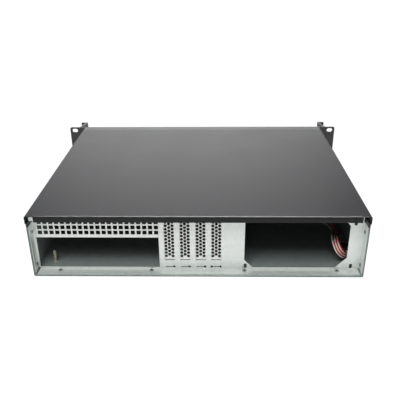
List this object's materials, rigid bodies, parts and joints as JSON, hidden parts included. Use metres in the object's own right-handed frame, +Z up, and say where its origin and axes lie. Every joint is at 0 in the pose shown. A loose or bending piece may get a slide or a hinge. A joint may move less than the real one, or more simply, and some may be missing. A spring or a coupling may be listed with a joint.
{
  "type": "rackmount server case",
  "caption": "Low rack case of folded sheet steel with screwed cover, rack ears, hook handles, open rear panel, perforated slot covers, drive cage and intake fan, without its electronics.",
  "frame": {"origin": "centre of the base's underside plane, under the middle of the overall length and width", "axes": "+Z up, +Y from the front panel to the rear, +X to the right seen from the front"},
  "size_m": [0.4826, 0.389, 0.0881],
  "materials": {
    "zinc_sheet": "galvanised, faint spangle",
    "zinc_panel": "galvanised, faint spangle",
    "cover_steel": "plain zinc-plated",
    "screw_zinc": "bright zinc",
    "black_paint": "fine satin black",
    "front_paint": "fine satin black",
    "handle_black": "black anodised",
    "screw_black": "black oxide",
    "fan_plastic": "fine grain",
    "rotor_plastic": "smooth",
    "bay_plastic": "fine grain",
    "button_plastic": "smooth",
    "board_green": "solder mask",
    "switch_plastic": "moulded",
    "light_clear": "clear lens",
    "spacer_brass": "nickel-free, turned",
    "port_steel": "tinned shell",
    "standoff_brass": "turned",
    "post_nylon": "natural nylon",
    "rivet_aluminium": "as formed",
    "plug_plastic": "moulded",
    "lead_pvc": "red, black and white leads"
  },
  "bodies": {
    "case": {"chassis_base": "zinc_sheet", "rear_panel": "zinc_panel", "slot_cover_1": "cover_steel", "slot_cover_2": "cover_steel", "slot_cover_3": "cover_steel", "slot_cover_4": "cover_steel", "slot_cover_screws": "screw_zinc", "top_cover": "black_paint", "top_cover_screws": "screw_zinc", "front_panel": "front_paint", "front_panel_screws": "screw_zinc", "handle_right": "handle_black", "handle_left": "handle_black", "handle_screws": "screw_black", "fan_frame": "fan_plastic", "fan_screws": "screw_black", "drive_cage": "zinc_sheet", "bay_cover": "bay_plastic", "control_board": "board_green", "push_switches": "switch_plastic", "indicator_lights": "light_clear", "board_spacers": "spacer_brass", "board_screws": "screw_zinc", "usb_ports": "port_steel", "board_standoffs": "standoff_brass", "support_post": "post_nylon", "rivets": "rivet_aluminium", "lead_bundle": "lead_pvc", "lead_plug": "plug_plastic"},
    "rotor": {"fan_rotor": "rotor_plastic"},
    "power": {"power_button": "button_plastic"},
    "reset": {"reset_button": "button_plastic"}
  },
  "joints": [
    {"name": "fan_spin", "type": "hinge", "parent": "case", "child": "rotor", "pos_m": [0.11, -0.1449, 0.04405], "axis": [0, 1, 0], "continuous": true},
    {"name": "power_press", "type": "slide", "parent": "case", "child": "power", "axis": [0, 1, 0], "range_m": [0, 0.001], "stiffness_N_per_m": 600, "springref_m": -0.0012},
    {"name": "reset_press", "type": "slide", "parent": "case", "child": "reset", "axis": [0, 1, 0], "range_m": [0, 0.001], "stiffness_N_per_m": 600, "springref_m": -0.0012}
  ]
}
